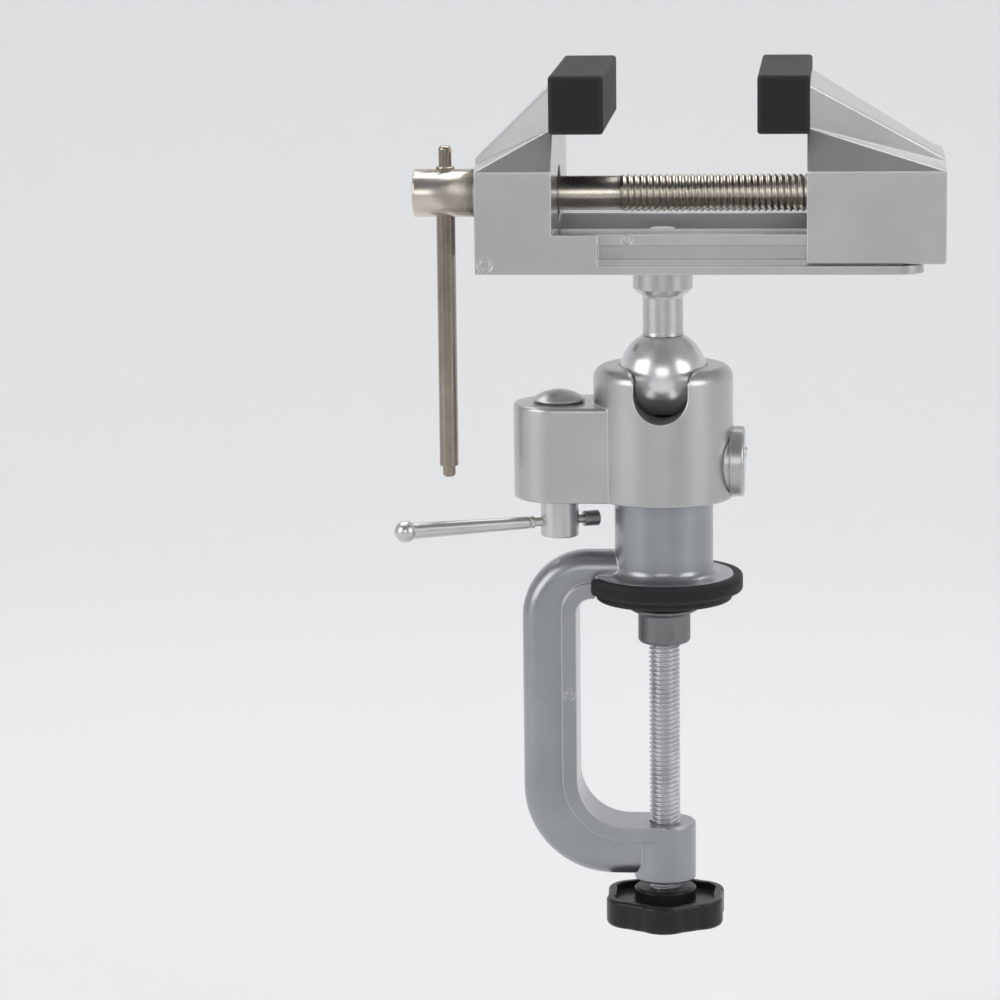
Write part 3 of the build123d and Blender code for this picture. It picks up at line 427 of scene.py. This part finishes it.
has_rim = np.where(np.cos(turn) > 0, 1.0, np.clip(beside_arm / RIM_END, 0, 1))
reach = bare[:, :1] + (whole - bare)[:, :1] * has_rim
height = bare[:, 1:] + (whole - bare)[:, 1:] * has_rim
pad_rings = np.stack([reach * np.cos(turn), reach * np.sin(turn), height], -1)
pad_ends = (0, 0, 0), (0, 0, SOLE_TOP)
pad_mesh = closed_skin("bench_pad_rubber", pad_rings, *pad_ends, CREASE_ANGLE)
piece("bench_pad_rubber", pad_mesh, "clamp", rubber, "black_rubber", "bench_pad")


# The clamp screw is M10 steel with a rolled 1.5 mm thread, zinc plated to a pale grey.
# It runs up through the boss, and a wire ring holds the swivel shoe on its top end.

CLAMP_PITCH = 0.0015
CLAMP_CORE = 0.00411
CLAMP_END_CHAMFER = 0.0006
CLAMP_THREAD_START = 0.004
CLAMP_THREAD_END = -0.0108
CLAMP_RUN_OUT = 0.0012
RING_GROOVE = (-0.0096, -0.0092, -0.0078, -0.0074)
RING_GROOVE_DEPTH = 0.0009
TIP_TAPER_START = -0.0064
TIP_RADIUS = 0.0020
ZINC = (0.72, 0.73, 0.74)
ZINC_DULL = (0.6, 0.61, 0.62)
ZINC_ROUGHNESS = (0.34, 0.48)
ZINC_MARKS = 0.2
THREAD_COLUMNS = 56
ROWS_PER_PITCH = 12
FLANK_SLOPE = 1.32
ROOT_SHARE = 0.1
TURNED_CREASE = 38
METAL_EDGE = 0.0003
METAL_CLOUD = 0.012
MARKS_FINE = 9000
MARKS_LONG = 130
MARKS_DETAIL = 2.0
MARKS_SHARE = 0.6
CLOUD_SHARE = 0.4
MARKS_HEIGHT = 0.00003


def lathe_mesh(name, along, radius, place):
    """A closed turned form. along and radius are arrays over (row, angle), and place turns
    (along, across, up) arrays into x, y, z. Both ends close on a pole on the axis."""
    angle = np.linspace(0, 2 * math.pi, radius.shape[1], endpoint=False)
    rings = place(along, radius * np.cos(angle), radius * np.sin(angle))
    poles = place(along[[0, -1], 0], np.zeros(2), np.zeros(2))
    return closed_skin(name, rings, poles[0], poles[1], TURNED_CREASE)


def threaded(profile, pitch, core, thread_low, thread_high, run_out):
    """Rows and radii of a threaded rod. The plain outline runs through the profile's
    (station, radius) points. From thread_low to thread_high the radius becomes
    core + depth * tooth(station / pitch - angle / full turn), where tooth rises and falls
    in straight flanks between a narrow crest and a narrow root, and fades over run_out."""
    stations, radii = np.array(profile).T
    count = int((thread_high - thread_low) / pitch * ROWS_PER_PITCH)
    rows = np.union1d(stations, np.linspace(thread_low, thread_high, count))
    outline = np.interp(rows, stations, radii)
    turn = np.linspace(0, 1, THREAD_COLUMNS, endpoint=False)
    phase = (rows[:, None] / pitch - turn) % 1.0
    wave = (0.5 - np.abs(phase - 0.5)) * 2
    tooth = np.clip(wave * FLANK_SLOPE - ROOT_SHARE, 0, 1)
    depth = outline[:, None] - core
    cut = (core + depth * tooth) - outline[:, None]
    inside = np.clip((rows - thread_low) / run_out, 0, 1)
    inside *= np.clip((thread_high - rows) / run_out, 0, 1)
    radius = outline[:, None] + cut * inside[:, None]
    return np.repeat(rows[:, None], THREAD_COLUMNS, 1), radius


def bright_metal(name, tone, dull_tone, roughness, axis, marks_strength):
    """Plated or polished metal. Its turning marks are noise in rings round the axis, which
    is long over the surface and fine along the axis. Roughness is a lowest and a highest."""
    finish, tree, shader = new_finish(name, Metallic=1.0)
    link = tree.links.new
    edge = use_group(tree, SOFT_EDGE, Radius=METAL_EDGE)
    grain = use_group(tree, GRAIN, Cloud_Size=METAL_CLOUD)
    place = add(tree, "ShaderNodeTexCoord")
    stretch = add(tree, "ShaderNodeMapping")
    scales = [MARKS_LONG] * 3
    scales["XYZ".index(axis)] = MARKS_FINE
    stretch.inputs["Scale"].default_value = scales
    rings = add(tree, "ShaderNodeTexNoise", inputs={"Scale": 1.0, "Detail": MARKS_DETAIL})
    link(place.outputs["Object"], stretch.inputs["Vector"])
    link(stretch.outputs["Vector"], rings.inputs["Vector"])
    cloud = span(tree, grain.outputs["Cloud"], 0.0, 1.0, *NOISE_SPAN)
    link(two_tones(tree, cloud, dull_tone, tone), shader.inputs["Base Color"])
    marks = add(tree, "ShaderNodeMath", operation="MULTIPLY_ADD", use_clamp=True)
    marks.inputs[1].default_value = MARKS_SHARE
    link(rings.outputs["Fac"], marks.inputs[0])
    link(span(tree, grain.outputs["Cloud"], 0.0, CLOUD_SHARE, *NOISE_SPAN), marks.inputs[2])
    link(span(tree, marks.outputs["Value"], *roughness), shader.inputs["Roughness"])
    raise_surface(tree, shader, edge, rings.outputs["Fac"], marks_strength, MARKS_HEIGHT)
    return finish


zinc_plate = bright_metal("zinc_plate", ZINC, ZINC_DULL, ZINC_ROUGHNESS, "Z", ZINC_MARKS)

screw_low, screw_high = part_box("clamp_screw")
clamp_radius = screw_high.x
clamp_foot = screw_low.z
groove_radius = clamp_radius - RING_GROOVE_DEPTH
clamp_profile = [
    (clamp_foot, clamp_radius - CLAMP_END_CHAMFER),
    (clamp_foot + CLAMP_END_CHAMFER, clamp_radius),
    (RING_GROOVE[0], clamp_radius),
    (RING_GROOVE[1], groove_radius),
    (RING_GROOVE[2], groove_radius),
    (RING_GROOVE[3], clamp_radius),
    (TIP_TAPER_START, clamp_radius),
    (screw_high.z, TIP_RADIUS),
]
thread_ends = clamp_foot + CLAMP_THREAD_START, CLAMP_THREAD_END
along, radius = threaded(clamp_profile, CLAMP_PITCH, CLAMP_CORE, *thread_ends, CLAMP_RUN_OUT)


def upright(axial, across, up):
    """Stands a turned form up on the Z axis."""
    return np.stack([across, up, axial + 0 * across], -1)


clamp_mesh = lathe_mesh("clamp_screw_turned", along, radius, upright)
piece(
    "clamp_screw_turned", clamp_mesh, "clamp_spindle", zinc_plate, "zinc_steel", "clamp_screw"
)


# The swivel shoe is a turned steel cup with a flange, phosphated to a matt grey. It turns
# freely on the clamp screw's tip and presses the bench from below.

SHOE_GREY = (0.27, 0.275, 0.28)
SHOE_GREY_DULL = (0.2, 0.204, 0.208)
SHOE_ROUGHNESS = (0.4, 0.58)
SHOE_MARKS = 0.3
shoe_steel = bright_metal(
    "shoe_steel", SHOE_GREY, SHOE_GREY_DULL, SHOE_ROUGHNESS, "Z", SHOE_MARKS
)
paint(shoe_steel, "clamp_shoe")


# The knob is moulded in glossy black plastic round the end of the clamp screw: six lobes,
# a raised wavy rim, a sunk face and a hub. Handling has left it with fine haze.

KNOB_BLACK = (0.012, 0.012, 0.013)
KNOB_HAZE = (0.018, 0.018, 0.019)
KNOB_SPECULAR = 0.28
KNOB_COAT = 0.08
KNOB_COAT_ROUGHNESS = 0.12
KNOB_ROUGHNESS = (0.26, 0.4)
KNOB_EDGE = 0.0006
KNOB_CLOUD = 0.008
KNOB_GRAIN = 0.0007
HAZE_SPAN = (0.35, 0.75)
KNOB_BUMP = 0.1
KNOB_RELIEF = 0.00005

knob_plastic, tree, shader = new_finish(
    "knob_plastic",
    Specular_IOR_Level=KNOB_SPECULAR,
    Coat_Weight=KNOB_COAT,
    Coat_Roughness=KNOB_COAT_ROUGHNESS,
)
edge = use_group(tree, SOFT_EDGE, Radius=KNOB_EDGE)
grain = use_group(tree, GRAIN, Cloud_Size=KNOB_CLOUD, Grain_Size=KNOB_GRAIN)
cloud = grain.outputs["Cloud"]
haze = span(tree, cloud, 0, 1, *HAZE_SPAN)
tree.links.new(two_tones(tree, haze, KNOB_BLACK, KNOB_HAZE), shader.inputs["Base Color"])
gloss = span(tree, cloud, *KNOB_ROUGHNESS, *NOISE_SPAN)
tree.links.new(gloss, shader.inputs["Roughness"])
raise_surface(tree, shader, edge, grain.outputs["Grain"], KNOB_BUMP, KNOB_RELIEF)
paint(knob_plastic, "clamp_knob")


# The ball housing and both jaws are aluminium castings in a brighter silver lacquer than
# the C-frame. The side cap and the adjuster's cap are turned and sprayed with them.

HEAD_SILVER = (0.55, 0.546, 0.541)
HEAD_SILVER_DEEP = (0.475, 0.472, 0.47)
# The edge tone below is a painted highlight along the castings' edges.
HEAD_EDGE_HIGHLIGHT = (0.92, 0.92, 0.92)
head_lacquer = silver_lacquer("head_lacquer", HEAD_SILVER, HEAD_SILVER_DEEP, HEAD_EDGE_HIGHLIGHT)
paint(head_lacquer, "socket_housing", "side_cap", "adjuster_cap", "fixed_jaw", "moving_jaw")


# Satin chromed steel: the ball, and a little duller its neck and collar, the lock
# spindle, and the tapered lever with its ball end. The lever's end cap is darker.

SATIN = (0.84, 0.84, 0.835)
SATIN_DULL = (0.76, 0.76, 0.755)
SATIN_ROUGHNESS = (0.26, 0.36)
STEM_GREY = (0.66, 0.66, 0.655)
STEM_DULL = (0.58, 0.58, 0.575)
STEM_ROUGHNESS = (0.28, 0.38)
END_CAP_GREY = (0.42, 0.42, 0.425)
END_CAP_DULL = (0.34, 0.34, 0.345)
END_CAP_ROUGHNESS = (0.28, 0.4)
SATIN_MARKS = 0.04

satin = bright_metal("satin_steel", SATIN, SATIN_DULL, SATIN_ROUGHNESS, "Z", SATIN_MARKS)
paint(satin, "ball")
stem_steel = bright_metal(
    "stem_steel", STEM_GREY, STEM_DULL, STEM_ROUGHNESS, "Z", SATIN_MARKS
)
paint(stem_steel, "ball_stem", "lock_spindle", "lock_lever")
end_cap_steel = bright_metal(
    "end_cap_steel", END_CAP_GREY, END_CAP_DULL, END_CAP_ROUGHNESS, "Z", SATIN_MARKS
)
paint(end_cap_steel, "lever_end_cap")


# Steel that is left as it came: rings, clip, washer, adjuster screw, plunger and nuts.
# The lock's bush is sintered bronze, and the ball's seat and the drag plug are nylon.

STEEL = (0.46, 0.45, 0.44)
STEEL_DULL = (0.33, 0.32, 0.31)
STEEL_ROUGHNESS = (0.22, 0.4)
PLAIN_MARKS = 0.2

plain_steel = bright_metal("plain_steel", STEEL, STEEL_DULL, STEEL_ROUGHNESS, "X", PLAIN_MARKS)
paint(
    plain_steel,
    "post_ring",
    "shoe_ring",
    "adjuster_screw",
    "lock_plunger",
    "stem_nut",
    "screw_clip",
    "jaw_nut",
    "screw_washer",
)

BRONZE = (0.5, 0.33, 0.15)
BRONZE_DULL = (0.36, 0.22, 0.1)
BRONZE_ROUGHNESS = (0.26, 0.42)
bronze = bright_metal("bronze", BRONZE, BRONZE_DULL, BRONZE_ROUGHNESS, "Z", PLAIN_MARKS)
paint(bronze, "lock_bush")

NYLON = (0.3, 0.3, 0.29)
NYLON_SHADE = (0.24, 0.24, 0.23)
NYLON_ROUGHNESS = 0.5
NYLON_SPECULAR = 0.4
NYLON_CLOUD = 0.004
nylon, tree, shader = new_finish(
    "nylon", Roughness=NYLON_ROUGHNESS, Specular_IOR_Level=NYLON_SPECULAR
)
grain = use_group(tree, GRAIN, Cloud_Size=NYLON_CLOUD)
tone = two_tones(tree, grain.outputs["Cloud"], NYLON_SHADE, NYLON)
tree.links.new(tone, shader.inputs["Base Color"])
paint(nylon, "ball_seat", "drag_plug")


# The jaw screw is one turned bar, nickel plated: a round head with a cross hole, a smooth
# shank, and a rolled M12 thread of 2 mm pitch up to its far end.

NICKEL = (0.72, 0.66, 0.59)
NICKEL_DULL = (0.6, 0.545, 0.48)
NICKEL_ROUGHNESS = (0.22, 0.34)
NICKEL_MARKS = 0.12
JAW_PITCH = 0.002
JAW_CORE = 0.0053
JAW_SHANK = 0.0054
JAW_THREAD = 0.0059
JAW_THREAD_START = -0.0132
JAW_SHANK_LEFT = 0.002
JAW_RUN_OUT = 0.0015
JAW_END_CHAMFER = 0.0008
HEAD_CUT = 0.001
HEAD_CREASE = 30
WELD = 1e-7

nickel = bright_metal("nickel", NICKEL, NICKEL_DULL, NICKEL_ROUGHNESS, "X", NICKEL_MARKS)

jaw_low, jaw_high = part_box("jaw_screw")
jaw_axis = (jaw_high.z + jaw_low.z) / 2
jaw_profile = [
    (JAW_THREAD_START - JAW_SHANK_LEFT, JAW_SHANK),
    (JAW_THREAD_START, JAW_SHANK),
    (JAW_THREAD_START + JAW_RUN_OUT, JAW_THREAD),
    (jaw_high.x - JAW_END_CHAMFER, JAW_THREAD),
    (jaw_high.x, JAW_THREAD - JAW_END_CHAMFER),
]
thread_ends = JAW_THREAD_START, jaw_high.x
along, radius = threaded(jaw_profile, JAW_PITCH, JAW_CORE, *thread_ends, JAW_RUN_OUT)


def level(axial, across, up):
    """Lays a turned form along X at the height of the jaw screw."""
    return np.stack([axial + 0 * across, across, jaw_axis + up], -1)


thread_mesh = lathe_mesh("jaw_screw_thread", along, radius, level)
piece("jaw_screw_thread", thread_mesh, "screw", nickel, "nickel_steel")

head_mesh = nodes["jaw_screw"].data.copy()
shaper = bmesh.new()
shaper.from_mesh(head_mesh)
bmesh.ops.remove_doubles(shaper, verts=shaper.verts, dist=WELD)
everything = list(shaper.verts) + list(shaper.edges) + list(shaper.faces)
cut = bmesh.ops.bisect_plane(
    shaper,
    geom=everything,
    plane_co=(JAW_THREAD_START - HEAD_CUT, 0, 0),
    plane_no=(1, 0, 0),
    clear_outer=True,
)
cut_rim = [part for part in cut["geom_cut"] if isinstance(part, bmesh.types.BMEdge)]
bmesh.ops.edgeloop_fill(shaper, edges=cut_rim)
shaper.to_mesh(head_mesh)
shaper.free()
head_mesh.materials.clear()
head_mesh.shade_smooth()
head_mesh.set_sharp_from_angle(angle=math.radians(HEAD_CREASE))
piece("jaw_screw_head", head_mesh, "screw", nickel, "nickel_steel", "jaw_screw")


# The tommy bar slides in the head's cross hole. It is a plain rod with both ends turned
# down, plated like the screw and polished along its length by use.

BAR_NICKEL = (0.42, 0.365, 0.31)
BAR_NICKEL_DULL = (0.33, 0.28, 0.235)
BAR_ROUGHNESS = (0.14, 0.24)
BAR_MARKS = 0.08

bar_nickel = bright_metal(
    "bar_nickel", BAR_NICKEL, BAR_NICKEL_DULL, BAR_ROUGHNESS, "Z", BAR_MARKS
)
paint(bar_nickel, "tommy_bar")


# The studio: a plain pale floor that curves up into a wall all round, painted alike. Soft
# panels stand left, right, in front and overhead. None of it is part of the object. The
# floor lies lower than the knob of the clamp screw comes.

FLOOR_PALE = (0.74, 0.745, 0.75)
SCREW_DROP = 0.0594
FLOOR_GAP = 0.002
ROOM_RADIUS = 2.6
ROOM_BEND = 0.7
ROOM_MIDDLE = -1.0
ROOM_TOP = 2.6
ROOM_COLUMNS = 96
BEND_ROWS = 24
MIDDLE_RADIUS = 0.6
FLOOR_ROUGHNESS = 0.85
FLOOR_SPECULAR = 0.2
AIR_TINT = (0.9, 0.93, 1.0)
AIR_LEVEL = 0.2
PANELS = (
    ("panel_left", (-1.3, -0.8, 0.6), (0.9, 1.05), 8.6),
    ("panel_right", (1.35, -0.75, 0.58), (0.8, 1.05), 7.3),
    ("panel_front", (0.0, -1.8, 0.45), (1.0, 0.6), 3.8),
    ("panel_top", (0.0, 0.5, 1.45), (2.2, 1.3), 24.0),
)

object_low, object_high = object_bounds()
floor_z = object_low.z - SCREW_DROP - FLOOR_GAP
bend = np.linspace(0, math.pi / 2, BEND_ROWS)
reach = ROOM_RADIUS - ROOM_BEND + ROOM_BEND * np.sin(bend)
reach = np.concatenate([[MIDDLE_RADIUS], reach, [ROOM_RADIUS]])[:, None]
height = np.concatenate([[0.0], ROOM_BEND - ROOM_BEND * np.cos(bend), [ROOM_TOP]])[:, None]
turn = np.linspace(0, 2 * math.pi, ROOM_COLUMNS, endpoint=False)
room_points = np.stack([reach * np.cos(turn), reach * np.sin(turn), height + 0 * turn], -1)
room_points += (0.0, ROOM_MIDDLE, floor_z)
row, column = np.meshgrid(np.arange(len(reach) - 1), np.arange(ROOM_COLUMNS), indexing="ij")
corner = row * ROOM_COLUMNS + column
beside = row * ROOM_COLUMNS + (column + 1) % ROOM_COLUMNS
room_faces = np.stack([corner, corner + ROOM_COLUMNS, beside + ROOM_COLUMNS, beside], -1)
room_faces = [list(range(ROOM_COLUMNS))] + room_faces.reshape(-1, 4).tolist()
room_mesh = bpy.data.meshes.new("floor_sweep")
room_mesh.from_pydata(room_points.reshape(-1, 3).tolist(), [], room_faces)
room_mesh.shade_smooth()
room = bpy.data.objects.new("floor_sweep", room_mesh)
bpy.context.scene.collection.objects.link(room)
floor_paint, tree, shader = new_finish(
    "floor_paint", Roughness=FLOOR_ROUGHNESS, Specular_IOR_Level=FLOOR_SPECULAR
)
shader.inputs["Base Color"].default_value = (*FLOOR_PALE, 1)
room_mesh.materials.append(floor_paint)

object_centre = (object_low + object_high) / 2


def soft_panel(name, place, size, power):
    """A lamp panel of a width and height that faces the middle of the object."""
    lamp = bpy.data.lights.new(name, "AREA")
    lamp.shape = "RECTANGLE"
    lamp.size, lamp.size_y = size
    lamp.energy = power
    made = bpy.data.objects.new(name, lamp)
    made.location = place
    made.rotation_mode = "QUATERNION"
    made.rotation_quaternion = (object_centre - Vector(place)).to_track_quat("-Z", "Y")
    bpy.context.scene.collection.objects.link(made)


for panel in PANELS:
    soft_panel(*panel)

world = bpy.data.worlds.new("studio_air")
world.use_nodes = True
air = world.node_tree.nodes["Background"]
air.inputs["Color"].default_value = (*AIR_TINT, 1)
air.inputs["Strength"].default_value = AIR_LEVEL
bpy.context.scene.world = world
bpy.context.scene.view_settings.view_transform = "Standard"


# The camera stands a little to the right of the vise and above it, as the photograph's
# did: a long lens from 1.3 m away, tipped down, and rolled by under a degree.

CAMERA_PLACE = Vector((0.0596, -1.3, 0.2839))
CAMERA_YAW = -0.0861
CAMERA_PITCH = -0.1909
CAMERA_ROLL = -0.0121
FOCAL_PIXELS = 4138.5
IMAGE_PIXELS = 1000
SENSOR_WIDTH = 36.0
NEAR_CLIP = 0.05
FAR_CLIP = 20

lens = bpy.data.cameras.new("camera")
lens.sensor_width = SENSOR_WIDTH
lens.lens = FOCAL_PIXELS / IMAGE_PIXELS * SENSOR_WIDTH
lens.clip_start = NEAR_CLIP
lens.clip_end = FAR_CLIP
camera = bpy.data.objects.new("camera", lens)
look = Vector(
    (
        math.sin(CAMERA_YAW) * math.cos(CAMERA_PITCH),
        math.cos(CAMERA_YAW) * math.cos(CAMERA_PITCH),
        math.sin(CAMERA_PITCH),
    )
)
camera.location = CAMERA_PLACE
camera.rotation_mode = "QUATERNION"
camera.rotation_quaternion = look.to_track_quat("-Z", "Y") @ Quaternion((0, 0, 1), CAMERA_ROLL)
bpy.context.scene.collection.objects.link(camera)
bpy.context.scene.camera = camera
